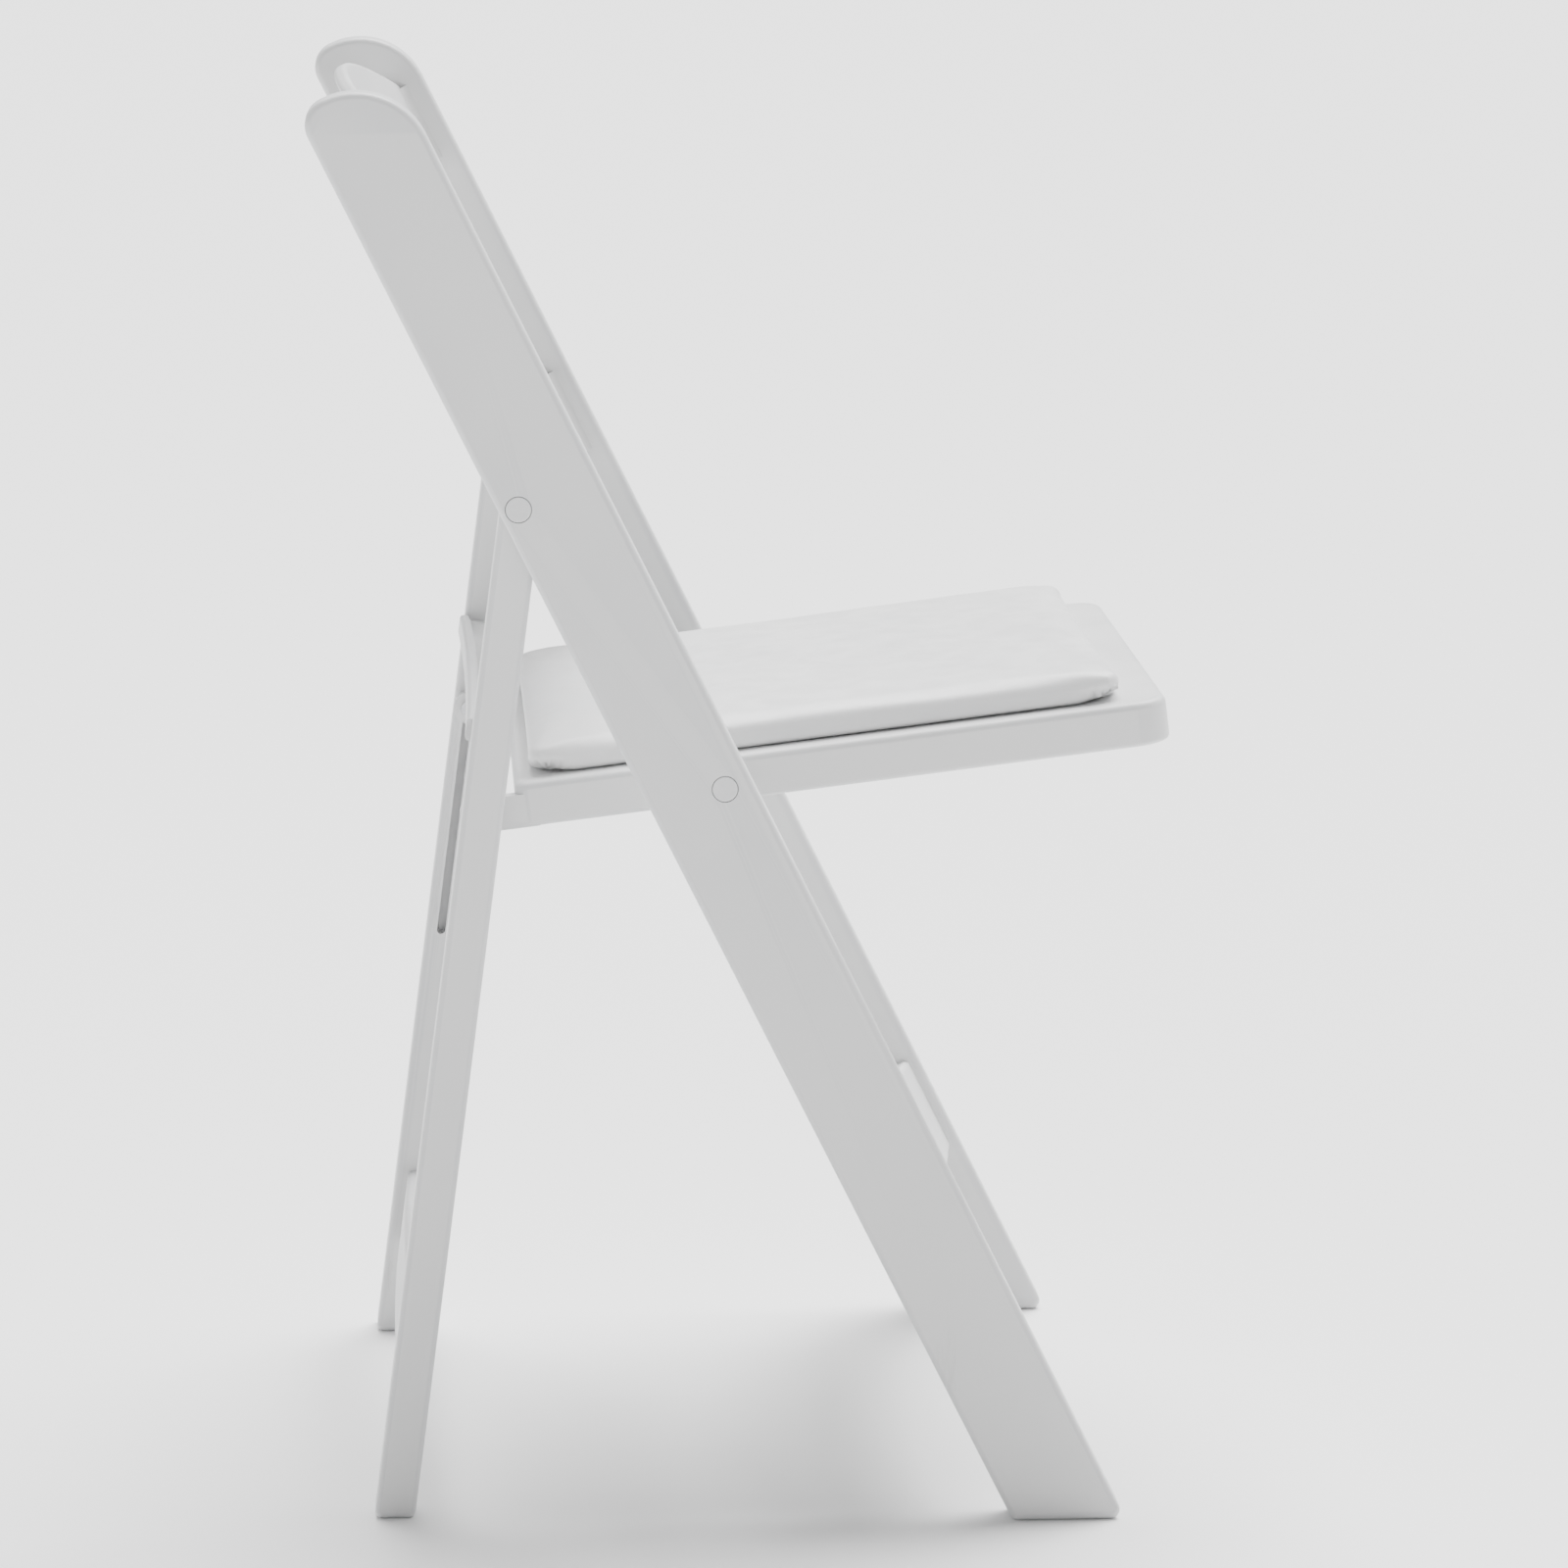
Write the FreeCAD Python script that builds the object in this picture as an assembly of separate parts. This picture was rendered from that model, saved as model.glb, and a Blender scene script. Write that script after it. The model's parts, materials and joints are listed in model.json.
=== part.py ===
"""A folding chair: two leaning stiles, two crossing rear legs, slats and a padded seat.

Axes: X to the sitter's left, -Y forwards, +Z up, Z = 0 on the floor.
Side-view places are (forward, height), with forward = 0 at the rear leg's rear edge on the floor.
"""
import FreeCAD, Part
import math
import os

V = FreeCAD.Vector

# Overall sizes, in millimetres and degrees.
WIDTH = 450.0
HEIGHT = 775.0

# Stiles: the long members, from the front feet up to the top of the back.
STILE_THICK = 24.0
STILE_DEEP = 55.3
STILE_LEAN = 26.3
STILE_FOOT = 346.0
STILE_TOP_FRONT_ROUND = 40.0
STILE_TOP_REAR_ROUND = 14.0
STILE_TOE_ROUND = 5.0
STILE_HEEL_ROUND = 4.0
STILE_EDGE_ROUND = 3.5

# Rear legs, hung from the stiles at the upper pivot.
LEG_THICK = 24.0
LEG_DEEP = 21.7
LEG_LEAN = 7.5
LEG_FOOT_ROUND = 4.0
LEG_EDGE_ROUND = 3.0
LEG_OVER_PIVOT = 12.0

# Pivots in the side view, the seat's slope and the folding travel.
UPPER_PIVOT = (82.0, 556.8)
SEAT_PIVOT = (190.2, 406.6)
SEAT_TILT = 6.9
SLIDE_START = 175.0
SLIDE_END = 312.0

# Clearances.
SIDE_GAP = 1.5
RUNNING_GAP = 0.3
BORE_FIT = 0.05
JOINT_FIT = 0.15

# Pivot hardware.
BOLT_R = 3.5
BOLT_HEAD_R = 5.5
BOLT_HEAD_LONG = 4.0
BUSH_R = 5.5
NUT_R = 6.0
NUT_LONG = 7.8
CAP_R = 6.8
CAP_LONG = 4.0
CAP_EDGE_ROUND = 0.5
CAP_FIT = 0.35
UPPER_WASHER_R = 8.0
SEAT_WASHER_R = 10.0
SPACER_R = 12.0

# Joinery.
TENON_DEEP = 12.0
TENON_SHOULDER = 1.0
TENON_INSET = 8.0
DOWEL_R = 2.0
DOWEL_END = 3.0

# Slats and stretchers, each placed across and along the member that carries it.
FLARE_ROUND = 14.0
FLARE_RUN = 11.0
TOP_SLAT = {"rear": 33.0, "thick": 8.0, "bow": 15.0, "low": 762.0, "high": 815.0, "crown": 35.0,
            "edge": 3.0, "flare": True}
LOWER_SLAT = {"rear": 33.5, "thick": 8.0, "bow": 8.0, "low": 569.0, "high": 626.0, "crown": 8.0,
              "edge": 3.0, "flare": True}
FRONT_STRETCHER = {"rear": 40.0, "thick": 9.0, "bow": 15.0, "low": 91.0, "high": 152.0,
                   "crown": 14.0, "edge": 3.0, "flare": False}
REAR_STRETCHER = {"rear": 7.0, "thick": 8.0, "bow": 3.0, "low": 56.0, "high": 102.0, "crown": 5.0,
                  "edge": 3.0, "flare": False}
REAR_SLAT = {"rear": -3.0, "thick": 6.0, "bow": -2.0, "low": 429.0, "high": 441.0, "crown": 1.0,
             "edge": 2.0, "flare": False}
REAR_SLAT_INSET = 2.0
REAR_SLAT_TENON = dict(REAR_SLAT, rear=REAR_SLAT["rear"] + REAR_SLAT["thick"],
                       low=REAR_SLAT["low"] + REAR_SLAT_INSET - TENON_INSET,
                       high=REAR_SLAT["high"] - REAR_SLAT_INSET + TENON_INSET)
REAR_SLAT_BLOCK = 11.0
REAR_SLAT_BLOCK_FRONT = 12.0

# Slot liners in the rear legs and the pins that travel along them.
SLOT_ACROSS = 8.7
SLOT_WIDE = 5.0
LINER_WALL = 0.8
LINER_DEEP = 10.0
LIP_WIDE = 9.0
LIP_PROUD = 0.6
SLIDE_PIN_R = 2.3
SLIDE_PIN_HEAD_R = 4.5
SLIDE_PIN_HEAD_LONG = 2.5
PIN_TIP_GAP = 0.4

# Seat tray, placed forward of and above the seat pivot on the seat's own slope.
TRAY_REAR = -111.0
TRAY_FRONT = 245.0
TRAY_TOP = 7.5
TRAY_BOTTOM = -16.5
TRAY_WALL = 4.0
TRAY_PLATE = 3.7
TRAY_FRONT_ROUND = 20.0
TRAY_REAR_ROUND = 8.0
TRAY_TOP_EDGE = 4.0
TRAY_BOTTOM_EDGE = 2.5
RIB_DEEP = 12.0
RIB_THICK = 3.0
RIB_SIDE = 62.0
RIB_PLACES = (-55.0, 60.0, 175.0)
EAR_THICK = 8.5
EAR_R = 9.0
EAR_SETBACK = 0.5

# Seat pad.
PAD_REAR = -105.0
PAD_FRONT = 225.0
PAD_HALF = 164.0
PAD_THICK = 17.0
PAD_CORNER = 18.0
PAD_EDGE = 7.0
COVER_THICK = 1.2
BOARD_THICK = 6.0
PAD_SCREW_SIDE = 110.0
PAD_SCREW_PLACES = (-20.0, 130.0)
PAD_SCREW_R = 2.0
PAD_SCREW_HEAD_R = 4.5
PAD_SCREW_HEAD_LONG = 2.5
TEE_NUT_R = 3.5
TEE_FLANGE_R = 8.0
TEE_FLANGE_THICK = 1.0

# Places along X that follow from the sizes above.
STILE_OUT = WIDTH / 2
STILE_IN = STILE_OUT - STILE_THICK
LEG_OUT = STILE_IN - SIDE_GAP
LEG_IN = LEG_OUT - LEG_THICK
SEAT_SIDE = LEG_IN - SIDE_GAP
EAR_OUT = SEAT_SIDE - EAR_SETBACK
CAP_SEAT = STILE_OUT - CAP_LONG
NUT_SEAT = CAP_SEAT - NUT_LONG - JOINT_FIT


def side_frame(origin, tilt):
    """Return a function that places (across, along, x) of a member that leans by tilt."""
    cosine = math.cos(math.radians(tilt))
    sine = math.sin(math.radians(tilt))

    def place(across, along, x=0.0):
        forward = origin[0] + across * cosine - along * sine
        height = origin[1] + across * sine + along * cosine
        return V(x, -forward, height)

    return place


def local(origin, tilt, point):
    """The (across, along) of a side-view point in a leaning member's frame."""
    forward = point[0] - origin[0]
    height = point[1] - origin[1]
    cosine = math.cos(math.radians(tilt))
    sine = math.sin(math.radians(tilt))
    return forward * cosine + height * sine, height * cosine - forward * sine


stile = side_frame((STILE_FOOT, 0.0), STILE_LEAN)
leg = side_frame((0.0, 0.0), -LEG_LEAN)
seat = side_frame(SEAT_PIVOT, SEAT_TILT)
STILE_UPPER = local((STILE_FOOT, 0.0), STILE_LEAN, UPPER_PIVOT)
STILE_SEAT = local((STILE_FOOT, 0.0), STILE_LEAN, SEAT_PIVOT)
LEG_UPPER = local((0.0, 0.0), -LEG_LEAN, UPPER_PIVOT)


def rounded_wire(corners, place):
    """A closed wire through corners (a, b, radius), each turned into an arc."""
    arcs = []
    for i, (a, b, radius) in enumerate(corners):
        here = V(a, b, 0)
        before = corners[i - 1]
        after = corners[(i + 1) % len(corners)]
        back = (V(before[0], before[1], 0) - here).normalize()
        ahead = (V(after[0], after[1], 0) - here).normalize()
        half = back.getAngle(ahead) / 2
        reach = radius / math.tan(half)
        centre = here + (back + ahead).normalize() * (radius / math.sin(half))
        crest = centre + (here - centre).normalize() * radius
        points = (here + back * reach, crest, here + ahead * reach)
        arcs.append([place(p.x, p.y) for p in points])
    edges = []
    for i, (start, crest, end) in enumerate(arcs):
        edges.append(Part.Arc(start, crest, end).toShape())
        following = arcs[(i + 1) % len(arcs)][0]
        if following.distanceToPoint(end) > 1e-6:
            edges.append(Part.LineSegment(end, following).toShape())
    return Part.Wire(edges)


def side_bar(place, corners, x0, x1):
    """A rounded side-view outline, from x0 to x1."""
    wire = rounded_wire(corners, lambda a, b: place(a, b, x0))
    return Part.Face(wire).extrude(V(x1 - x0, 0, 0))


def plan_bar(place, corners, low, high):
    """A rounded outline in (x, across), raised along the member from low to high."""
    wire = rounded_wire(corners, lambda x, across: place(across, low, x))
    return Part.Face(wire).extrude(place(0, high) - place(0, low))


def block(place, a0, a1, b0, b1, x0, x1):
    """A box with its sides across, along and in X."""
    outline = [place(a0, b0, x0), place(a1, b0, x0), place(a1, b1, x0), place(a0, b1, x0)]
    return Part.Face(Part.makePolygon(outline + outline[:1])).extrude(V(x1 - x0, 0, 0))


def rod(place, across, along, radius, x0, x1):
    """A cylinder parallel to X."""
    return Part.makeCylinder(radius, x1 - x0, place(across, along, x0), V(1, 0, 0))


def across_rod(place, along, x, radius, a0, a1):
    """A cylinder that runs across a member."""
    return Part.makeCylinder(radius, a1 - a0, place(a0, along, x), place(1, 0) - place(0, 0))


def upright_rod(place, across, x, radius, low, high):
    """A cylinder that runs along a member, such as a screw up through the seat."""
    return Part.makeCylinder(radius, high - low, place(across, low, x), place(0, 1) - place(0, 0))


def slot_bar(place, across, low, high, radius, x0, x1):
    """A stadium outline along a member, from x0 to x1."""
    corners = [(across - radius, low - radius), (across + radius, low - radius),
               (across + radius, high + radius), (across - radius, high + radius)]
    return side_bar(place, [(a, b, radius * 0.999) for a, b in corners], x0, x1)


def mirrored(shape):
    return shape.mirror(V(0, 0, 0), V(1, 0, 0))


def both_sides(shape):
    return Part.makeCompound([shape, mirrored(shape)])


def outline_edges(shape):
    """The edges round a bar's two side faces."""
    return [edge for edge in shape.Edges if edge.BoundBox.XLength < 1e-6]


def rim_edges(shape, level):
    """The edges that lie at a height above the seat pivot, square to the seat."""
    return [edge for edge in shape.Edges
            if all(abs(height(vertex.Point) - level) < 1e-6 for vertex in edge.Vertexes)]


def tenon_block(place, size, half, grow):
    """The tenon at a slat's end, or its mortise when grow is a clearance."""
    return block(place, size["rear"] + TENON_SHOULDER - grow,
                 size["rear"] + size["thick"] - TENON_SHOULDER + grow,
                 size["low"] + TENON_INSET - grow, size["high"] - TENON_INSET + grow,
                 half - 1.0, half + TENON_DEEP + grow)


def dowel_place(size):
    """How far along the member the pins of a slat's tenons stand."""
    return (size["low"] + size["high"]) / 2


def dowel(place, size, half, radius, start):
    """The pin through a tenon, or its hole."""
    front = size["rear"] + size["thick"] + DOWEL_END
    return across_rod(place, dowel_place(size), half + TENON_DEEP / 2, radius, start, front)


def slat_board(place, size, half):
    """A bowed board between two members, with a crowned top edge and softened long edges."""
    rear = size["rear"]
    front = rear + size["thick"]
    low = size["low"]
    top = size["high"] + size["crown"]
    rear_arc = Part.Arc(place(rear, low, -half), place(rear - size["bow"], low, 0),
                        place(rear, low, half))
    front_arc = Part.Arc(place(front, low, half), place(front - size["bow"], low, 0),
                         place(front, low, -half))
    ends = [Part.LineSegment(place(rear, low, half), place(front, low, half)),
            Part.LineSegment(place(front, low, -half), place(rear, low, -half))]
    plan = Part.Wire([curve.toShape() for curve in (rear_arc, ends[0], front_arc, ends[1])])
    board = Part.Face(plan).extrude(place(0, top) - place(0, low))
    behind = rear - abs(size["bow"]) - 1
    crown = Part.Arc(place(behind, size["high"], half), place(behind, top, 0),
                     place(behind, size["high"], -half))
    outline = [place(behind, size["high"], -half), place(behind, low, -half),
               place(behind, low, half), place(behind, size["high"], half)]
    face = Part.Face(Part.Wire([Part.makePolygon(outline), crown.toShape()]))
    depth = front + abs(size["bow"]) + 1 - behind
    board = board.common(face.extrude(place(depth, 0) - place(0, 0)))
    return board.makeFillet(size["edge"], [edge for edge in board.Edges if edge.Length > half])


def flare(place, size, half):
    """The soft thickening where a back slat's front face meets the stile."""
    front = size["rear"] + size["thick"]
    foot = half - FLARE_RUN
    foot_front = front - size["bow"] * (1 - (foot / half) ** 2)
    low = size["low"] + size["edge"]
    high = size["high"] - size["edge"]

    def rise(run):
        return foot_front + FLARE_ROUND - math.sqrt(FLARE_ROUND ** 2 - run ** 2)

    curve = Part.Arc(place(foot_front, low, foot), place(rise(FLARE_RUN / 2), low, foot + FLARE_RUN / 2),
                     place(rise(FLARE_RUN), low, half))
    sides = Part.makePolygon([place(rise(FLARE_RUN), low, half), place(front - 2, low, half),
                              place(foot_front - 2, low, foot), place(foot_front, low, foot)])
    return Part.Face(Part.Wire([curve.toShape(), sides])).extrude(place(0, high) - place(0, low))


def make_slat(place, size, half, root):
    """A slat with its flares and tenons, drilled for its pins; root is the pins' first end."""
    shape = slat_board(place, size, half)
    extras = [tenon_block(place, size, half, 0.0)]
    if size["flare"]:
        extras.append(flare(place, size, half))
    for extra in extras:
        shape = shape.fuse([extra, mirrored(extra)])
    hole = dowel(place, size, half, DOWEL_R + BORE_FIT, root)
    return shape.cut([hole, mirrored(hole)]).removeSplitter()


def make_stile():
    """The sitter's left stile, with its mortises, pin holes and stepped pivot bores."""
    lean = math.radians(STILE_LEAN)
    round_centre = HEIGHT - STILE_TOP_FRONT_ROUND
    top = (round_centre - (STILE_DEEP - STILE_TOP_FRONT_ROUND) * math.sin(lean)) / math.cos(lean)
    top += STILE_TOP_FRONT_ROUND
    corners = [(0, 0, STILE_HEEL_ROUND), (0, top, STILE_TOP_REAR_ROUND),
               (STILE_DEEP, top, STILE_TOP_FRONT_ROUND),
               (STILE_DEEP, -STILE_DEEP * math.tan(lean), STILE_TOE_ROUND)]
    shape = side_bar(stile, corners, STILE_IN, STILE_OUT)
    shape = shape.makeFillet(STILE_EDGE_ROUND, outline_edges(shape))
    cuts = []
    for size in (TOP_SLAT, LOWER_SLAT, FRONT_STRETCHER):
        cuts.append(tenon_block(stile, size, STILE_IN, JOINT_FIT))
        cuts.append(dowel(stile, size, STILE_IN, DOWEL_R + BORE_FIT, -1.0))
    for across, along in (STILE_UPPER, STILE_SEAT):
        cuts.append(rod(stile, across, along, BOLT_R + BORE_FIT, STILE_IN - 1, NUT_SEAT))
        cuts.append(rod(stile, across, along, NUT_R + BORE_FIT, NUT_SEAT, CAP_SEAT))
        cuts.append(rod(stile, across, along, CAP_R + CAP_FIT, CAP_SEAT, STILE_OUT + 1))
    return shape.cut(cuts)


def slot_ends():
    """The slide pin's lowest and highest places along the leg."""
    return LEG_UPPER[1] - SLIDE_END, LEG_UPPER[1] - SLIDE_START


def make_leg():
    """The sitter's left rear leg, with its slot, mortises and counterbored pivot hole."""
    top = LEG_UPPER[1] + LEG_OVER_PIVOT
    round_top = LEG_DEEP / 2 - 0.05
    corners = [(0, 0, LEG_FOOT_ROUND),
               (LEG_DEEP, LEG_DEEP * math.tan(math.radians(LEG_LEAN)), LEG_FOOT_ROUND),
               (LEG_DEEP, top, round_top), (0, top, round_top)]
    shape = side_bar(leg, corners, LEG_IN, LEG_OUT)
    shape = shape.makeFillet(LEG_EDGE_ROUND, outline_edges(shape))
    low, high = slot_ends()
    outer = SLOT_WIDE / 2 + LINER_WALL + JOINT_FIT
    floor = LEG_IN + LINER_DEEP + JOINT_FIT
    counterbore = LEG_IN + BOLT_HEAD_LONG + 2 * RUNNING_GAP
    cuts = [slot_bar(leg, SLOT_ACROSS, low, high, outer, LEG_IN - 1, floor),
            rod(leg, *LEG_UPPER, BUSH_R + BORE_FIT, LEG_IN - 1, LEG_OUT + 1),
            rod(leg, *LEG_UPPER, BOLT_HEAD_R + RUNNING_GAP, LEG_IN - 1, counterbore)]
    for size in (REAR_SLAT_TENON, REAR_STRETCHER):
        cuts.append(tenon_block(leg, size, LEG_IN, JOINT_FIT))
        cuts.append(dowel(leg, size, LEG_IN, DOWEL_R + BORE_FIT, -1.0))
    return shape.cut(cuts)


def make_rear_slat():
    """The rear legs' upper slat, thickened at its ends to reach its tenons."""
    board = slat_board(leg, REAR_SLAT, LEG_IN)
    end = block(leg, REAR_SLAT["rear"] + 1, REAR_SLAT_BLOCK_FRONT, REAR_SLAT["low"] + REAR_SLAT_INSET,
                REAR_SLAT["high"] - REAR_SLAT_INSET, LEG_IN - REAR_SLAT_BLOCK, LEG_IN)
    tenon = tenon_block(leg, REAR_SLAT_TENON, LEG_IN, 0.0)
    shape = board.fuse([end, mirrored(end), tenon, mirrored(tenon)])
    hole = dowel(leg, REAR_SLAT_TENON, LEG_IN, DOWEL_R + BORE_FIT, REAR_SLAT["rear"] - 1)
    return shape.cut([hole, mirrored(hole)]).removeSplitter()


def make_slot_liner():
    """A nylon channel let into the leg, with a lip that stands proud of it."""
    low, high = slot_ends()
    inner = SLOT_WIDE / 2
    liner = slot_bar(leg, SLOT_ACROSS, low, high, inner + LINER_WALL, LEG_IN, LEG_IN + LINER_DEEP)
    lip = slot_bar(leg, SLOT_ACROSS, low, high, LIP_WIDE / 2, LEG_IN - LIP_PROUD, LEG_IN)
    floor = LEG_IN + LINER_DEEP - LINER_WALL
    return liner.fuse(lip).cut(slot_bar(leg, SLOT_ACROSS, low, high, inner, LEG_IN - 2, floor))


def slide_pin_place():
    """The slide pin's axis in the seat's frame."""
    point = leg(SLOT_ACROSS, LEG_UPPER[1] - SLIDE_START)
    return local(SEAT_PIVOT, SEAT_TILT, (-point.y, point.z))


def seat_outline(inset):
    """The tray's outline in (x, forward), drawn in by inset."""
    side = SEAT_SIDE - inset
    front = max(TRAY_FRONT_ROUND - inset, 0.5)
    rear = max(TRAY_REAR_ROUND - inset, 0.5)
    return [(-side, TRAY_REAR + inset, rear), (-side, TRAY_FRONT - inset, front),
            (side, TRAY_FRONT - inset, front), (side, TRAY_REAR + inset, rear)]


def pad_screw_places():
    return [(x, forward) for x in (-PAD_SCREW_SIDE, PAD_SCREW_SIDE) for forward in PAD_SCREW_PLACES]


def make_seat_tray():
    """The moulded seat: a plate with a skirt, ribs below and an ear at each rear corner."""
    tray = plan_bar(seat, seat_outline(0.0), TRAY_BOTTOM, TRAY_TOP)
    tray = tray.makeFillet(TRAY_TOP_EDGE, rim_edges(tray, TRAY_TOP))
    tray = tray.makeFillet(TRAY_BOTTOM_EDGE, rim_edges(tray, TRAY_BOTTOM))
    under = TRAY_TOP - TRAY_PLATE
    tray = tray.cut(plan_bar(seat, seat_outline(TRAY_WALL), TRAY_BOTTOM - 1, under))
    reach = TRAY_WALL / 2
    extras = []
    for side in (-RIB_SIDE, RIB_SIDE):
        extras.append(block(seat, TRAY_REAR + reach, TRAY_FRONT - reach, under - RIB_DEEP, under + 1,
                            side - RIB_THICK / 2, side + RIB_THICK / 2))
    for forward in RIB_PLACES:
        extras.append(block(seat, forward - RIB_THICK / 2, forward + RIB_THICK / 2, under - RIB_DEEP,
                            under + 1, -SEAT_SIDE + reach, SEAT_SIDE - reach))
    pin = slide_pin_place()
    ear = [(pin[0] - EAR_R, TRAY_BOTTOM, EAR_R * 0.9), (pin[0] - EAR_R, pin[1] + EAR_R, EAR_R * 0.9),
           (TRAY_REAR + TRAY_WALL + TRAY_REAR_ROUND, pin[1] + EAR_R, 1.0),
           (TRAY_REAR + TRAY_WALL + TRAY_REAR_ROUND, TRAY_BOTTOM, 1.0)]
    bar = side_bar(seat, ear, EAR_OUT - EAR_THICK, EAR_OUT)
    extras += [bar, mirrored(bar)]
    tray = tray.fuse(extras)
    cuts = []
    pocket = SEAT_SIDE - TRAY_WALL - BOLT_HEAD_LONG - RUNNING_GAP
    for bore in (rod(seat, 0, 0, BOLT_R + BORE_FIT, pocket, SEAT_SIDE + 1),
                 rod(seat, 0, 0, BOLT_HEAD_R + RUNNING_GAP, pocket - 1, SEAT_SIDE - TRAY_WALL),
                 rod(seat, *pin, SLIDE_PIN_R + BORE_FIT, EAR_OUT - EAR_THICK - 1, EAR_OUT + 1)):
        cuts += [bore, mirrored(bore)]
    for x, forward in pad_screw_places():
        cuts.append(upright_rod(seat, forward, x, PAD_SCREW_R + JOINT_FIT, under - 1, TRAY_TOP + 1))
    return tray.cut(cuts).removeSplitter()


def height(point):
    """A point's height above the seat pivot, square to the seat."""
    return local(SEAT_PIVOT, SEAT_TILT, (-point.y, point.z))[1]


def make_slide_pin():
    pin = slide_pin_place()
    head = EAR_OUT - EAR_THICK
    tip = LEG_IN - LIP_PROUD - PIN_TIP_GAP
    shank = rod(seat, *pin, SLIDE_PIN_R, head, tip)
    return shank.fuse(rod(seat, *pin, SLIDE_PIN_HEAD_R, head - SLIDE_PIN_HEAD_LONG, head))


def pad_outline(inset):
    corner = PAD_CORNER - inset
    side = PAD_HALF - inset
    rear = PAD_REAR + inset
    front = PAD_FRONT - inset
    return [(-side, rear, corner), (-side, front, corner), (side, front, corner), (side, rear, corner)]


def make_pad():
    """The pad's board, foam and cover, nested, with the tee nuts let into board and foam."""
    outer = plan_bar(seat, pad_outline(0.0), TRAY_TOP, TRAY_TOP + PAD_THICK)
    crest = TRAY_TOP + PAD_THICK
    outer = outer.makeFillet(PAD_EDGE, rim_edges(outer, crest))
    inner = plan_bar(seat, pad_outline(COVER_THICK), TRAY_TOP, crest - COVER_THICK)
    inner_crest = crest - COVER_THICK
    inner = inner.makeFillet(PAD_EDGE - COVER_THICK, rim_edges(inner, inner_crest))
    cover = outer.cut(inner)
    split = TRAY_TOP + BOARD_THICK
    slab = plan_bar(seat, pad_outline(-5.0), TRAY_TOP - 1, split)
    board = inner.common(slab)
    foam = inner.cut(slab)
    holes = [upright_rod(seat, f, x, TEE_NUT_R + BORE_FIT, TRAY_TOP - 1, split + 1)
             for x, f in pad_screw_places()]
    pockets = [upright_rod(seat, f, x, TEE_FLANGE_R + BORE_FIT, split - 1,
                           split + TEE_FLANGE_THICK + BORE_FIT) for x, f in pad_screw_places()]
    return board.cut(holes), foam.cut(pockets), cover


def make_pad_screws():
    under = TRAY_TOP - TRAY_PLATE
    screws = []
    for x, forward in pad_screw_places():
        shank = upright_rod(seat, forward, x, PAD_SCREW_R, under, TRAY_TOP + BOARD_THICK)
        head = upright_rod(seat, forward, x, PAD_SCREW_HEAD_R, under - PAD_SCREW_HEAD_LONG, under)
        screws.append(shank.fuse(head))
    return Part.makeCompound(screws)


def make_tee_nuts():
    split = TRAY_TOP + BOARD_THICK
    nuts = []
    for x, forward in pad_screw_places():
        barrel = upright_rod(seat, forward, x, TEE_NUT_R, TRAY_TOP + 1, split)
        flange = upright_rod(seat, forward, x, TEE_FLANGE_R, split, split + TEE_FLANGE_THICK)
        hole = upright_rod(seat, forward, x, PAD_SCREW_R + BORE_FIT, TRAY_TOP, split + 2)
        nuts.append(barrel.fuse(flange).cut(hole))
    return Part.makeCompound(nuts)


def make_bolt(place, head_seat):
    """A pivot bolt whose head bears inwards of head_seat."""
    head_in = head_seat - RUNNING_GAP - BOLT_HEAD_LONG
    head = rod(stile, *place, BOLT_HEAD_R, head_in, head_in + BOLT_HEAD_LONG)
    recess = rod(stile, *place, BOLT_R / 2, head_in - 1, head_in + BOLT_HEAD_LONG / 2)
    shank = rod(stile, *place, BOLT_R, head_in + BOLT_HEAD_LONG, CAP_SEAT - JOINT_FIT)
    return head.fuse(shank).cut(recess)


def make_ring(place, outer, inner, x0, x1):
    """A plain ring about a pivot."""
    return rod(stile, *place, outer, x0, x1).cut(rod(stile, *place, inner, x0 - 1, x1 + 1))


def make_cap(place):
    cap = rod(stile, *place, CAP_R, CAP_SEAT, STILE_OUT)
    rim = [edge for edge in outline_edges(cap) if edge.BoundBox.XMin > STILE_OUT - 1e-6]
    return cap.makeFillet(CAP_EDGE_ROUND, rim)


def make_dowels(place, sizes, half, root):
    """The pins that hold a frame's tenons."""
    pins = []
    for size in sizes:
        pin = dowel(place, size, half, DOWEL_R, root)
        pins += [pin, mirrored(pin)]
    return Part.makeCompound(pins)


def make_pivots():
    """The hardware on both pivots of both sides, one node for each kind of piece."""
    bore = BOLT_R + BORE_FIT
    leg_seat = LEG_IN + BOLT_HEAD_LONG + 2 * RUNNING_GAP
    spots = (STILE_UPPER, STILE_SEAT)
    nuts = [make_ring(spot, NUT_R, bore, NUT_SEAT, CAP_SEAT - JOINT_FIT) for spot in spots]
    washer_in = LEG_OUT + RUNNING_GAP
    washers = [make_ring(STILE_UPPER, UPPER_WASHER_R, bore, washer_in, STILE_IN),
               make_ring(STILE_SEAT, SEAT_WASHER_R, bore, washer_in, STILE_IN)]
    return {
        "upper_pivot_bolts": both_sides(make_bolt(STILE_UPPER, leg_seat)),
        "seat_pivot_bolts": both_sides(make_bolt(STILE_SEAT, SEAT_SIDE - TRAY_WALL)),
        "pivot_nuts": both_sides(Part.makeCompound(nuts)),
        "pivot_caps": both_sides(Part.makeCompound([make_cap(spot) for spot in spots])),
        "pivot_washers": both_sides(Part.makeCompound(washers)),
        "upper_pivot_bushes": both_sides(make_ring(STILE_UPPER, BUSH_R, bore, leg_seat, LEG_OUT)),
        "seat_pivot_spacers": both_sides(make_ring(STILE_SEAT, SPACER_R, bore, SEAT_SIDE, LEG_OUT)),
    }


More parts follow.
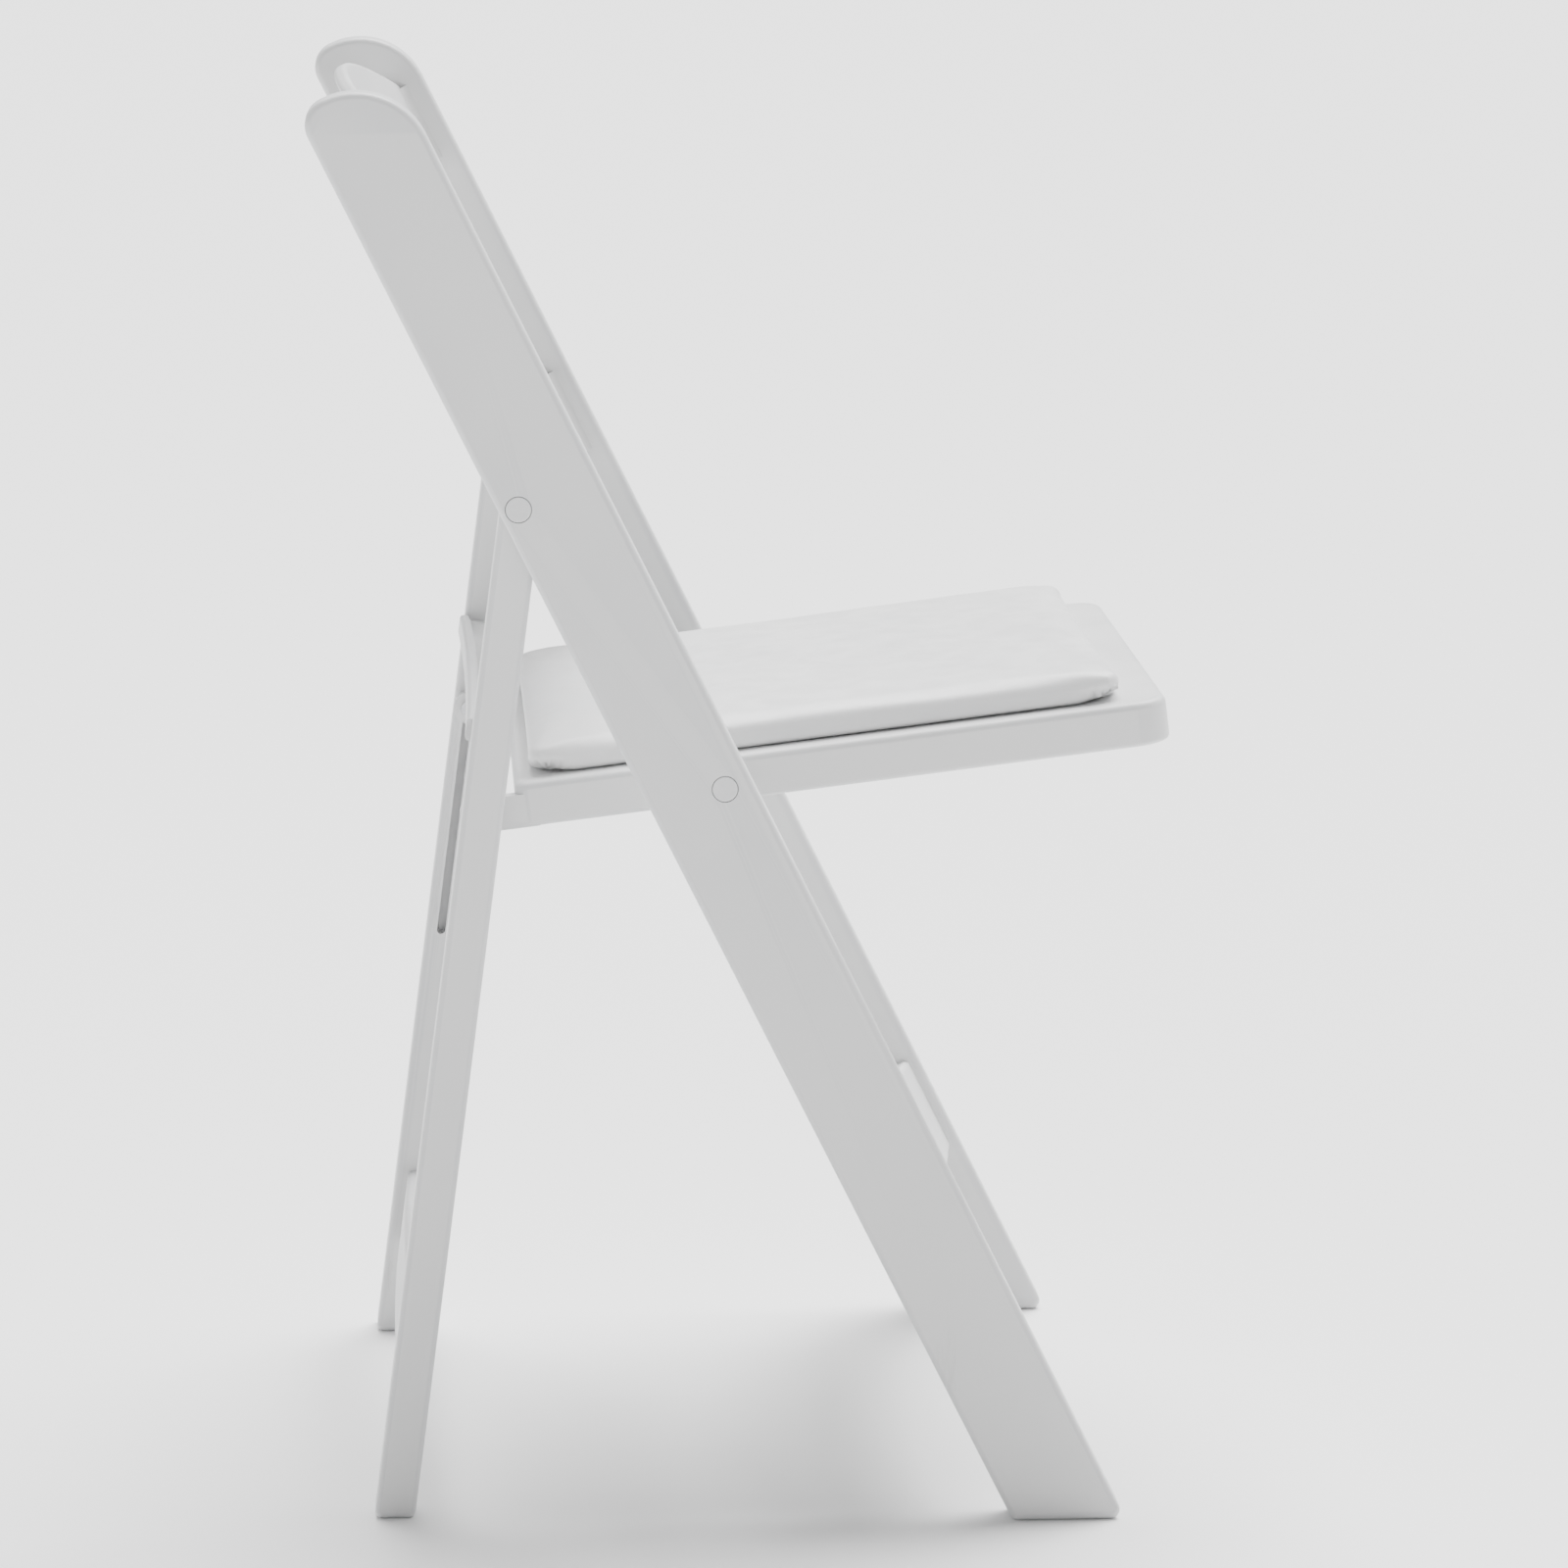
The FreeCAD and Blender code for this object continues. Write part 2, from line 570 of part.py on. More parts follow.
def make_pieces():
    left_stile = make_stile()
    left_leg = make_leg()
    left_liner = make_slot_liner()
    board, foam, cover = make_pad()
    pieces = {
        "left_stile": left_stile,
        "right_stile": mirrored(left_stile),
        "top_back_slat": make_slat(stile, TOP_SLAT, STILE_IN, 0.0),
        "lower_back_slat": make_slat(stile, LOWER_SLAT, STILE_IN, 0.0),
        "front_stretcher": make_slat(stile, FRONT_STRETCHER, STILE_IN, 0.0),
        "back_frame_pins": make_dowels(stile, (TOP_SLAT, LOWER_SLAT, FRONT_STRETCHER), STILE_IN, 0.0),
        "left_rear_leg": left_leg,
        "right_rear_leg": mirrored(left_leg),
        "rear_upper_slat": make_rear_slat(),
        "rear_lower_stretcher": make_slat(leg, REAR_STRETCHER, LEG_IN, 0.0),
        "rear_frame_pins": make_dowels(leg, (REAR_SLAT_TENON, REAR_STRETCHER), LEG_IN, 0.0),
        "left_slot_liner": left_liner,
        "right_slot_liner": mirrored(left_liner),
        "seat_tray": make_seat_tray(),
        "slide_pins": both_sides(make_slide_pin()),
        "pad_board": board,
        "pad_foam": foam,
        "pad_cover": cover,
        "pad_screws": make_pad_screws(),
        "pad_tee_nuts": make_tee_nuts(),
    }
    pieces.update(make_pivots())
    return pieces


def main():
    pieces = make_pieces()
    box = Part.makeCompound(list(pieces.values())).optimalBoundingBox(False)
    shift = V(0, -(box.YMin + box.YMax) / 2, 0)
    os.makedirs("parts", exist_ok=True)
    for name, shape in pieces.items():
        shape.translate(shift)
        shape.exportStep("parts/" + name + ".step")
        print(name, len(shape.Solids), "solids", round(shape.Volume), "mm3", shape.isValid())
    for name, point in (("leg_fold", UPPER_PIVOT), ("seat_fold", SEAT_PIVOT)):
        print(name, "at y", round(shift.y - point[0], 4), "z", point[1])
    print("box", round(box.XLength, 2), round(box.YLength, 2), round(box.ZMin, 3), round(box.ZMax, 2),
          "shift", round(shift.y, 4))


main()
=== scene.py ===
"""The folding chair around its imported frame: white resin members, steel hardware, vinyl pad."""

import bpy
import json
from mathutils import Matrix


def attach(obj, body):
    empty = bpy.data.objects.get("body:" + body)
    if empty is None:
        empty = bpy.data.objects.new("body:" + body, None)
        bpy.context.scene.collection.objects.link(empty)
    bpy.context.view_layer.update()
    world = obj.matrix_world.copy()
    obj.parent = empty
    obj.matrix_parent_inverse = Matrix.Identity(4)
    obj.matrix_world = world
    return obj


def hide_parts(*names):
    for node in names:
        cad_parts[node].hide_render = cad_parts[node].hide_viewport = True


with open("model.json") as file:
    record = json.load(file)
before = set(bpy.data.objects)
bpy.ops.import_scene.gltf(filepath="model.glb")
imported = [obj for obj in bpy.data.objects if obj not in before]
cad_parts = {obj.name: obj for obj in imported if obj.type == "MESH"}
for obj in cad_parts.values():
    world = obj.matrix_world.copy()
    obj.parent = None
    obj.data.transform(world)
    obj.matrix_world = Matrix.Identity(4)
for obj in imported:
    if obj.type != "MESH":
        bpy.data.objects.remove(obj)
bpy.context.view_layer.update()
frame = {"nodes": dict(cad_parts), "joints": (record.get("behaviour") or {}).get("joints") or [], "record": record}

import json
import math

import bpy
from mathutils import Matrix, Vector, noise

MM = 0.001

# Camera, from fitting the chair's feet, stile tops and pivots. Lens and sensor are in mm.
CAMERA_PLACE = (-3.4287, 0.1815, 1.0139)
CAMERA_YAW = math.radians(-3.55)
CAMERA_DOWN = math.radians(10.67)
CAMERA_LENS = 141.6
SENSOR_WIDTH = 36

# Light: a bright surround, a very soft sun from above and beyond the chair, and two soft panels.
SURROUND = 0.42
SUN_STRENGTH = 9.5
SUN_FROM = (0.5, -0.22, 1.0)
SUN_SPREAD = math.radians(50)
FRONT_PANEL = {"place": (0.3, -2.6, 1.5), "target": (0, 0, 0.4), "size": 1.6, "watts": 10.0}
REAR_PANEL = {"place": (0.9, 2.4, 1.4), "target": (0, 0, 0.5), "size": 1.4, "watts": 8.0}

# The floor reaches far enough that its edge stays out of the main view.
FLOOR_HALF = 60
FLOOR_COLOUR = (0.93, 0.93, 0.93, 1)
FLOOR_ROUGHNESS = 0.9

# Colours, as linear red, green and blue.
RESIN_COOL = (0.635, 0.642, 0.65)
RESIN_WARM = (0.675, 0.678, 0.68)
RESIN_POLISHED = (0.76, 0.76, 0.755)
RESIN_SCUFFED = (0.50, 0.50, 0.49)
VINYL_COOL = (0.79, 0.795, 0.80)
VINYL_WARM = (0.825, 0.825, 0.822)
VINYL_GRAIN = (0.74, 0.74, 0.735)
# The vinyl's painted shade, for its creases.
VINYL_CREASE_SHADE = (0.72, 0.72, 0.715)
NYLON_COOL = (0.66, 0.665, 0.67)
NYLON_WARM = (0.70, 0.70, 0.70)
ZINC_DULL = (0.50, 0.51, 0.53)
ZINC_BRIGHT = (0.66, 0.66, 0.65)
PLY_DARK = (0.45, 0.30, 0.16)
PLY_LIGHT = (0.66, 0.50, 0.32)
FOAM_DARK = (0.62, 0.58, 0.44)
FOAM_LIGHT = (0.80, 0.76, 0.62)

# The CAD seat's slope.
SEAT_TILT = math.radians(6.9)

# The pad's start: rings as (height above the base, inset) and then (drop below the top, inset),
# in mm, with the corners' radius and the points in each corner's quarter turn.
PAD_UNDERSIDE = ((0.0, 8.5), (1.4, 5.6), (3.6, 2.4), (6.4, 1.0))
PAD_SHOULDER = ((5.4, 1.2), (2.9, 2.4), (1.6, 4.4))
PAD_CORNER = 16.0 * MM
CORNER_STEPS = 8
VOXEL = 4.0 * MM

# The cloth pass. The cap is the most that it may move a point.
CLOTH_PRESSURE = 3.0
CLOTH_TENSION = 25
CLOTH_BENDING = 0.8
CLOTH_FRAMES = 20
CLOTH_CAP = 2.0 * MM
HELD_HEIGHT = 1.5 * MM
SOFTEN_PASSES = 3
SOFTEN_SHARE = 0.5

# The pad's crown, and the pull of its sides between the corners.
CROWN = 1.8 * MM
CROWN_POWER = 4
SIDE_PULL = 1.2 * MM
PULL_POWER = 2

# The pleats: each wave is (ripples per radian round the corner, share, share of the phase).
PLEAT_DEEP = 2.0 * MM
PLEAT_START = 0.5 * PAD_CORNER
PLEAT_REACH = 52.0 * MM
PLEAT_WAVES = ((19, 1.0, 1.0), (31, 0.5, 2.3))
PLEAT_INWARD = 1.1
PHASE_ACROSS = 1.7
PHASE_ALONG = 0.9
CORNER_ZONE = 1.9 * PAD_CORNER
CORNER_LIFT = 1.8 * MM

# The cover's unevenness, broad and fine: ripples per metre across, along and up.
SURFACE_WAVE = 0.55 * MM
BROAD_RIPPLE = (24, 17, 30)
BROAD_START = 3.0
FINE_RIPPLE = (70, 55)
FINE_START = 9.0
FINE_SHARE = 0.25
PAD_LIFT = 0.35 * MM

# Where each shaping fades in: shares of the pad's height, and of the way out to its edge.
TOP_ZONE = (0.45, 0.95)
SIDE_ZONE = (0.05, 0.4)
EDGE_ZONE = (0.86, 1.0)
PLEAT_ZONE = (0.25, 0.60)
LIFT_ZONE = (0.0, 0.5)
BASE_ZONE = (-0.1, 0.2)


def seat_axes():
    """The seat pivot, and the seat's forward and upward directions."""
    joint = next(j for j in frame["joints"] if j["name"] == "seat_fold")
    forward = Vector((0, -math.cos(SEAT_TILT), math.sin(SEAT_TILT)))
    upward = Vector((0, math.sin(SEAT_TILT), math.cos(SEAT_TILT)))
    return Vector(joint["pos_m"]), forward, upward


PIVOT, FORWARD, UPWARD = seat_axes()
SEAT_TO_MODEL = Matrix.Translation(PIVOT) @ Matrix(
    ((1, 0, 0), (0, FORWARD.y, UPWARD.y), (0, FORWARD.z, UPWARD.z))).to_4x4()
MODEL_TO_SEAT = SEAT_TO_MODEL.inverted()


def seat_box(node):
    """A node's lowest and highest (across, forward, up) in the seat's own frame."""
    points = [MODEL_TO_SEAT @ v.co for v in frame["nodes"][node].data.vertices]
    low = Vector([min(p[i] for p in points) for i in range(3)])
    high = Vector([max(p[i] for p in points) for i in range(3)])
    return low, high


def new_piece(name, data):
    """A new object in the scene with the data given."""
    obj = bpy.data.objects.new(name, data)
    bpy.context.scene.collection.objects.link(obj)
    return obj


def turned_towards(obj, direction):
    """Turn a camera or light to face along a direction."""
    obj.rotation_euler = direction.to_track_quat("-Z", "Y").to_euler()


# Materials.
class Nodes:
    """A short way to write a material's node tree."""

    def __init__(self, name):
        self.material = bpy.data.materials.new(name)
        self.material.use_nodes = True
        self.tree = self.material.node_tree
        self.shader = self.tree.nodes["Principled BSDF"]
        self.place = self.add("ShaderNodeTexCoord").outputs["Object"]

    def add(self, kind, **settings):
        """A new node with its settings."""
        node = self.tree.nodes.new(kind)
        for key, value in settings.items():
            setattr(node, key, value)
        return node

    def link(self, source, target):
        """Join an output to an input."""
        self.tree.links.new(source, target)

    def noise(self, scale, detail=4.0, roughness=0.55, stretch=None):
        """Cloudy noise, with the texture's space stretched where asked."""
        node = self.add("ShaderNodeTexNoise")
        node.inputs["Scale"].default_value = scale
        node.inputs["Detail"].default_value = detail
        node.inputs["Roughness"].default_value = roughness
        source = self.place
        if stretch:
            mapping = self.add("ShaderNodeMapping")
            mapping.inputs["Scale"].default_value = stretch
            self.link(self.place, mapping.inputs["Vector"])
            source = mapping.outputs["Vector"]
        self.link(source, node.inputs["Vector"])
        return node.outputs["Fac"]

    def cells(self, scale):
        """The distance to the edges of small cells."""
        node = self.add("ShaderNodeTexVoronoi", feature="DISTANCE_TO_EDGE")
        node.inputs["Scale"].default_value = scale
        self.link(self.place, node.inputs["Vector"])
        return node.outputs["Distance"]

    def span(self, source, reads, gives):
        """Take the source's range `reads` smoothly to the range `gives`."""
        node = self.add("ShaderNodeMapRange", interpolation_type="SMOOTHSTEP")
        for socket, value in zip(("From Min", "From Max", "To Min", "To Max"), (*reads, *gives)):
            node.inputs[socket].default_value = value
        self.link(source, node.inputs["Value"])
        return node.outputs["Result"]

    def product(self, first, second):
        """The product of two outputs."""
        node = self.add("ShaderNodeMath", operation="MULTIPLY")
        self.link(first, node.inputs[0])
        self.link(second, node.inputs[1])
        return node.outputs["Value"]

    def mix(self, factor, first, second):
        """From the first colour to the second, where each is a colour or an output."""
        node = self.add("ShaderNodeMix", data_type="RGBA")
        factor_in, first_in, second_in, colour_out = (
            node.inputs[0], node.inputs[6], node.inputs[7], node.outputs[2])
        self.link(factor, factor_in)
        for socket, colour in ((first_in, first), (second_in, second)):
            if isinstance(colour, tuple):
                socket.default_value = (*colour, 1)
            else:
                self.link(colour, socket)
        return colour_out

    def bump(self, *layers):
        """Chain layers of (height, strength, depth in metres) into the shader's normal."""
        previous = None
        for height, strength, depth in layers:
            node = self.add("ShaderNodeBump")
            node.inputs["Strength"].default_value = strength
            node.inputs["Distance"].default_value = depth
            self.link(height, node.inputs["Height"])
            if previous:
                self.link(previous, node.inputs["Normal"])
            previous = node.outputs["Normal"]
        self.link(previous, self.shader.inputs["Normal"])

    def pointed(self):
        """How sharp the surface is: above a half on edges, and below it in creases."""
        return self.add("ShaderNodeNewGeometry").outputs["Pointiness"]

    def height(self):
        """The height in the object's own frame, which is the model's frame."""
        split = self.add("ShaderNodeSeparateXYZ")
        self.link(self.place, split.inputs["Vector"])
        return split.outputs["Z"]

    def colour(self, source):
        self.link(source, self.shader.inputs["Base Color"])

    def roughness(self, source):
        self.link(source, self.shader.inputs["Roughness"])


def resin_material():
    """Satin white moulded resin, a little grimy at the feet and polished on its edges."""
    n = Nodes("white_resin")
    cloudy = n.noise(scale=9.0, detail=3.0)
    body = n.mix(n.span(cloudy, reads=(0.3, 0.7), gives=(0.0, 1.0)), RESIN_COOL, RESIN_WARM)
    worn = n.span(n.pointed(), reads=(0.505, 0.56), gives=(0.0, 0.55))
    body = n.mix(worn, body, RESIN_POLISHED)
    streaks = n.noise(scale=55.0, detail=6.0, roughness=0.7, stretch=(1.0, 1.0, 0.16))
    scuffs = n.span(streaks, reads=(0.62, 0.72), gives=(0.0, 1.0))
    low_down = n.span(n.height(), reads=(0.0, 0.16), gives=(0.5, 0.06))
    n.colour(n.mix(n.product(scuffs, low_down), body, RESIN_SCUFFED))
    patchy = n.noise(scale=26.0, detail=5.0, roughness=0.6)
    n.roughness(n.span(patchy, reads=(0.3, 0.75), gives=(0.40, 0.50)))
    moulding = n.noise(scale=5.0, detail=2.0)
    texture = n.noise(scale=1500.0, detail=2.0)
    n.bump((moulding, 0.10, 0.0012), (texture, 0.16, 0.00008))
    n.shader.inputs["Specular IOR Level"].default_value = 0.42
    n.shader.inputs["Subsurface Weight"].default_value = 0.04
    n.shader.inputs["Subsurface Radius"].default_value = (0.004, 0.004, 0.004)
    return n.material


def vinyl_material():
    """Soft white vinyl with a fine pebbled grain, and painted shade in its creases."""
    n = Nodes("white_vinyl")
    cloudy = n.span(n.noise(scale=14.0), reads=(0.35, 0.7), gives=(0.0, 1.0))
    body = n.mix(cloudy, VINYL_COOL, VINYL_WARM)
    grain = n.cells(scale=900.0)
    body = n.mix(n.span(grain, reads=(0.0, 0.10), gives=(0.10, 0.0)), body, VINYL_GRAIN)
    # Painted shade: the vinyl turns darker where the surface folds inward in creases.
    crease_shade = n.span(n.pointed(), reads=(0.43, 0.49), gives=(0.45, 0.0))
    n.colour(n.mix(crease_shade, body, VINYL_CREASE_SHADE))
    n.roughness(n.span(n.noise(scale=60.0, detail=5.0), reads=(0.3, 0.7), gives=(0.36, 0.47)))
    slack = n.noise(scale=22.0, detail=3.0, roughness=0.5, stretch=(1.0, 1.6, 1.0))
    pebbles = n.span(grain, reads=(0.0, 0.18), gives=(0.0, 1.0))
    n.bump((slack, 0.20, 0.0009), (pebbles, 0.30, 0.00012))
    n.shader.inputs["Sheen Weight"].default_value = 0.05
    n.shader.inputs["Coat Weight"].default_value = 0.06
    n.shader.inputs["Coat Roughness"].default_value = 0.35
    return n.material


def nylon_material():
    """Glossier off-white nylon for caps, bushes and the slot's channel."""
    n = Nodes("white_nylon")
    cloudy = n.span(n.noise(scale=120.0), reads=(0.35, 0.7), gives=(0.0, 1.0))
    n.colour(n.mix(cloudy, NYLON_COOL, NYLON_WARM))
    n.roughness(n.span(n.noise(scale=300.0), reads=(0.3, 0.7), gives=(0.28, 0.38)))
    n.bump((n.noise(scale=2200.0, detail=2.0), 0.12, 0.00005))
    return n.material


def steel_material():
    """Zinc-plated steel with turning marks and a patchy bloom."""
    n = Nodes("zinc_steel")
    bloom = n.span(n.noise(scale=180.0, detail=5.0), reads=(0.35, 0.7), gives=(0.0, 1.0))
    n.colour(n.mix(bloom, ZINC_DULL, ZINC_BRIGHT))
    n.roughness(n.span(n.noise(scale=420.0, detail=3.0), reads=(0.3, 0.7), gives=(0.26, 0.44)))
    turning = n.noise(scale=900.0, detail=3.0, roughness=0.6, stretch=(6.0, 1.0, 1.0))
    n.bump((turning, 0.22, 0.00006))
    n.shader.inputs["Metallic"].default_value = 1.0
    return n.material


def wood_material():
    """Raw plywood: long grain with darker pores."""
    n = Nodes("plywood")
    grain = n.noise(scale=70.0, detail=6.0, roughness=0.6, stretch=(1.0, 0.08, 1.0))
    n.colour(n.mix(n.span(grain, reads=(0.3, 0.7), gives=(0.0, 1.0)), PLY_DARK, PLY_LIGHT))
    n.roughness(n.span(grain, reads=(0.3, 0.7), gives=(0.75, 0.6)))
    n.bump((grain, 0.3, 0.0003))
    return n.material


def foam_material():
    """Open-cell foam."""
    n = Nodes("foam")
    cells = n.cells(scale=700.0)
    n.colour(n.mix(n.span(cells, reads=(0.0, 0.3), gives=(0.0, 1.0)), FOAM_DARK, FOAM_LIGHT))
    n.shader.inputs["Roughness"].default_value = 0.95
    n.bump((cells, 0.5, 0.0004))
    return n.material


MATERIALS = {"white_resin": resin_material(), "white_vinyl": vinyl_material(),
             "white_nylon": nylon_material(), "steel": steel_material(),
             "plywood": wood_material(), "foam": foam_material()}


def finish_cad_nodes():
    """Give each CAD node its slot's material."""
    slots = {part["node"]: part["material_slot"] for part in frame["record"]["subparts"]}
    for name, obj in frame["nodes"].items():
        obj.data.materials.clear()
        obj.data.materials.append(MATERIALS[slots[name]])


# The pad.
def rounded_outline(half, rear, front, corner):
    """Points (across, forward) round a rectangle with rounded corners."""
    centres = [(half - corner, front - corner, 0), (-half + corner, front - corner, 90),
               (-half + corner, rear + corner, 180), (half - corner, rear + corner, 270)]
    points = []
    for across, forward, start in centres:
        for i in range(CORNER_STEPS + 1):
            angle = math.radians(start + 90 * i / CORNER_STEPS)
            points.append((across + corner * math.cos(angle), forward + corner * math.sin(angle)))
    return points


def pad_start(low, high):
    """A plain closed start for the cloth pass, a little smaller than the pad."""
    levels = [(low.z + rise * MM, inset * MM) for rise, inset in PAD_UNDERSIDE]
    levels += [(high.z - drop * MM, inset * MM) for drop, inset in PAD_SHOULDER]
    vertices = []
    for level, inset in levels:
        ring = rounded_outline(high.x - inset, low.y + inset, high.y - inset, PAD_CORNER - inset)
        vertices += [(across, forward, level) for across, forward in ring]
    count = len(vertices) // len(levels)
    last = count * (len(levels) - 1)
    faces = [tuple(reversed(range(count))), tuple(range(last, last + count))]
    for level in range(len(levels) - 1):
        for i in range(count):
            a = level * count + i
            b = level * count + (i + 1) % count
            faces.append((a, b, b + count, a + count))
    mesh = bpy.data.meshes.new("seat_cushion")
    mesh.from_pydata(vertices, [], faces)
    return mesh


def apply_modifiers(obj):
    """Keep what the object's modifiers make of its mesh, and remove them."""
    graph = bpy.context.evaluated_depsgraph_get()
    mesh = bpy.data.meshes.new_from_object(obj.evaluated_get(graph))
    obj.modifiers.clear()
    old = obj.data
    obj.data = mesh
    bpy.data.meshes.remove(old)


def remesh(obj):
    """Cover the object in even faces, for the cloth."""
    modifier = obj.modifiers.new("even", "REMESH")
    modifier.mode = "VOXEL"
    modifier.voxel_size = VOXEL
    apply_modifiers(obj)


def inflate(obj, floor):
    """Blow the cover up under pressure with its base held, each point moving no more than a cap."""
    start = [v.co.copy() for v in obj.data.vertices]
    held = obj.vertex_groups.new(name="held")
    held.add([v.index for v in obj.data.vertices if v.co.z < floor + HELD_HEIGHT], 1.0, "REPLACE")
    cloth = obj.modifiers.new("cloth", "CLOTH")
    cloth.settings.vertex_group_mass = "held"
    cloth.settings.use_pressure = True
    cloth.settings.uniform_pressure_force = CLOTH_PRESSURE
    cloth.settings.effector_weights.gravity = 0
    cloth.settings.tension_stiffness = CLOTH_TENSION
    cloth.settings.bending_stiffness = CLOTH_BENDING
    cloth.point_cache.frame_start = 1
    cloth.point_cache.frame_end = CLOTH_FRAMES
    for step in range(1, CLOTH_FRAMES + 1):
        bpy.context.scene.frame_set(step)
    apply_modifiers(obj)
    bpy.context.scene.frame_set(1)
    for vertex, before in zip(obj.data.vertices, start):
        move = vertex.co - before
        if move.length > CLOTH_CAP:
            vertex.co = before + move.normalized() * CLOTH_CAP


def soften(obj):
    """Even out the cloth pass's small ridges, and give the mesh finer faces."""
    smooth = obj.modifiers.new("soften", "SMOOTH")
    smooth.iterations = SOFTEN_PASSES
    smooth.factor = SOFTEN_SHARE
    apply_modifiers(obj)
    subdivision = obj.modifiers.new("finer", "SUBSURF")
    subdivision.levels = 1
    subdivision.render_levels = 1
    apply_modifiers(obj)


def smooth_step(value, low, high):
    """From 0 at low to 1 at high, level at both."""
    t = min(max((value - low) / (high - low), 0.0), 1.0)
    return t * t * (3 - 2 * t)


def crown_and_pull(p, level, half, middle, reach):
    """Raise the top's middle, and draw each side in between its corners."""
    across = min(abs(p.x) / half, 1.0)
    along = min(abs(p.y - middle) / reach, 1.0)
    crown = CROWN * (1 - across ** CROWN_POWER) * (1 - along ** CROWN_POWER)
    side = smooth_step(level, *SIDE_ZONE)
    pull_x = SIDE_PULL * (1 - along ** PULL_POWER) * smooth_step(across, *EDGE_ZONE) * side
    pull_y = SIDE_PULL * (1 - across ** PULL_POWER) * smooth_step(along, *EDGE_ZONE) * side
    p.x -= math.copysign(pull_x, p.x)
    p.y -= math.copysign(pull_y, p.y - middle)
    p.z += crown * smooth_step(level, *TOP_ZONE)


def gather_corner(p, level, half, middle, reach):
    """Tuck the cover into pleats low on the nearest corner, and lift that corner's base."""
    side = math.copysign(1, p.x)
    end = math.copysign(1, p.y - middle)
    centre = Vector((side * (half - PAD_CORNER), middle + end * (reach - PAD_CORNER)))
    out = Vector((p.x, p.y)) - centre
    near = 1 - smooth_step(out.length, PLEAT_START, PLEAT_REACH)
    beyond = smooth_step(abs(p.x) - (half - CORNER_ZONE), 0, PAD_CORNER)
    beyond *= smooth_step(abs(p.y - middle) - (reach - CORNER_ZONE), 0, PAD_CORNER)
    turn = math.atan2(abs(out.y), abs(out.x))
    phase = PHASE_ACROSS * side + PHASE_ALONG * end
    wave = sum(share * math.sin(ripples * turn + shift * phase)
               for ripples, share, shift in PLEAT_WAVES)
    tuck = (1 - smooth_step(level, *PLEAT_ZONE)) * near * beyond
    push = out.normalized() * (PLEAT_DEEP * (wave - PLEAT_INWARD) * tuck)
    p.x += push.x
    p.y += push.y
    p.z += CORNER_LIFT * beyond * near * (1 - smooth_step(level, *LIFT_ZONE))


def ripple(p, level):
    """Leave the top slightly uneven, as a stretched cover is."""
    broad_x, broad_y, broad_z = BROAD_RIPPLE
    fine_x, fine_y = FINE_RIPPLE
    broad = noise.noise(Vector((p.x * broad_x, p.y * broad_y, BROAD_START + p.z * broad_z)))
    fine = noise.noise(Vector((p.x * fine_x, p.y * fine_y, FINE_START)))
    p.z += SURFACE_WAVE * (broad + FINE_SHARE * fine) * smooth_step(level, *TOP_ZONE)


def shape_pad(obj, low, high):
    """Crown the top, pull the sides in, gather the corners and keep the base off the tray."""
    half = high.x
    middle = (low.y + high.y) / 2
    reach = (high.y - low.y) / 2
    for vertex in obj.data.vertices:
        p = vertex.co
        level = (p.z - low.z) / (high.z - low.z)
        crown_and_pull(p, level, half, middle, reach)
        gather_corner(p, level, half, middle, reach)
        ripple(p, level)
        p.z = max(p.z, low.z + PAD_LIFT * smooth_step(level, *BASE_ZONE))


